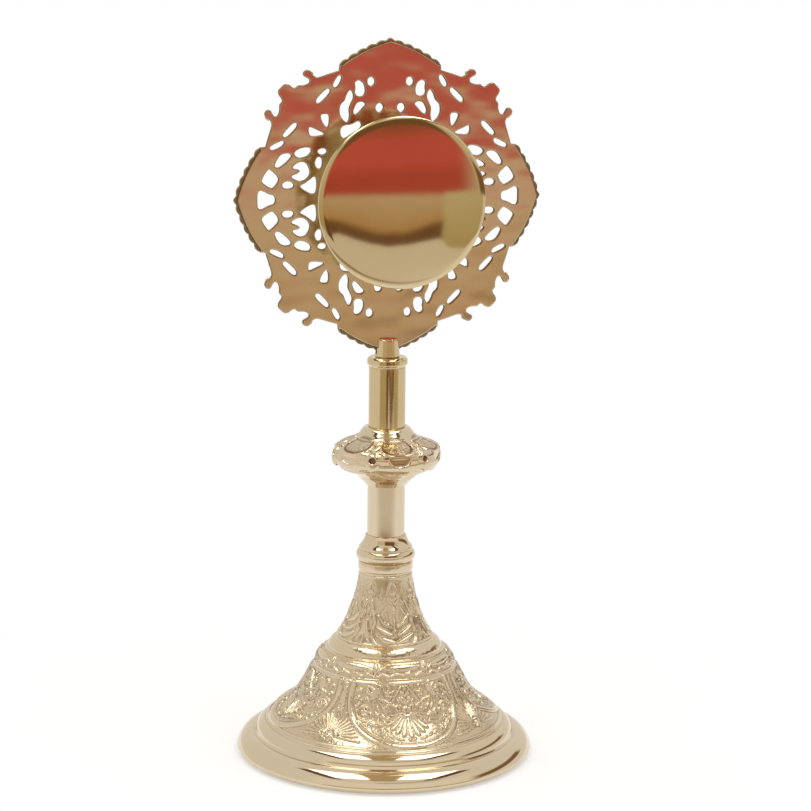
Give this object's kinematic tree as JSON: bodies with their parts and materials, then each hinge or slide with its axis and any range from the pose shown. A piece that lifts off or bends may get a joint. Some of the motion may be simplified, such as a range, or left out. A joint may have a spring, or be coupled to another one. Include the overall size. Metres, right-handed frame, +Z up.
{
  "type": "reliquary",
  "caption": "Standing brass reliquary: pierced rosette plate with a round glazed capsule and pull-off back lid, on a knopped stem and an embossed bell foot.",
  "frame": {"origin": "centre of the foot on the surface it stands on", "axes": "+Z up along the stem, +Y out of the glazed front, -Y out of the back lid"},
  "size_m": [0.132, 0.127, 0.305],
  "materials": {
    "polished_brass": "polished and lacquered",
    "plated_steel": "zinc plated",
    "window_glass": "clear",
    "gasket_rubber": "matte",
    "pad_card": "pressed card",
    "pad_velvet": "velvet"
  },
  "bodies": {
    "stand": {"foot_bell": "polished_brass", "foot_neck": "polished_brass", "foot_washer": "plated_steel", "foot_nut": "plated_steel", "tie_rod": "plated_steel", "stem_collar": "polished_brass", "lower_stem_tube": "polished_brass", "knop": "polished_brass", "upper_stem_tube": "polished_brass", "stem_cap": "polished_brass"},
    "head": {"head_ferrule": "polished_brass", "rosette_plate": "polished_brass", "capsule_drum": "polished_brass", "front_bezel": "polished_brass", "window_glass": "window_glass", "glass_gasket": "gasket_rubber"},
    "lid": {"back_lid": "polished_brass", "lid_sleeve": "polished_brass", "pad_board": "pad_card", "relic_pad": "pad_velvet"}
  },
  "joints": [
    {"name": "head_swivel", "type": "hinge", "parent": "stand", "child": "head", "pos_m": [0, 0, 0.166], "axis": [0, 0, 1], "continuous": true},
    {"name": "lid_pull", "type": "slide", "parent": "head", "child": "lid", "axis": [0, -1, 0], "range_m": [0, 0.022]}
  ]
}
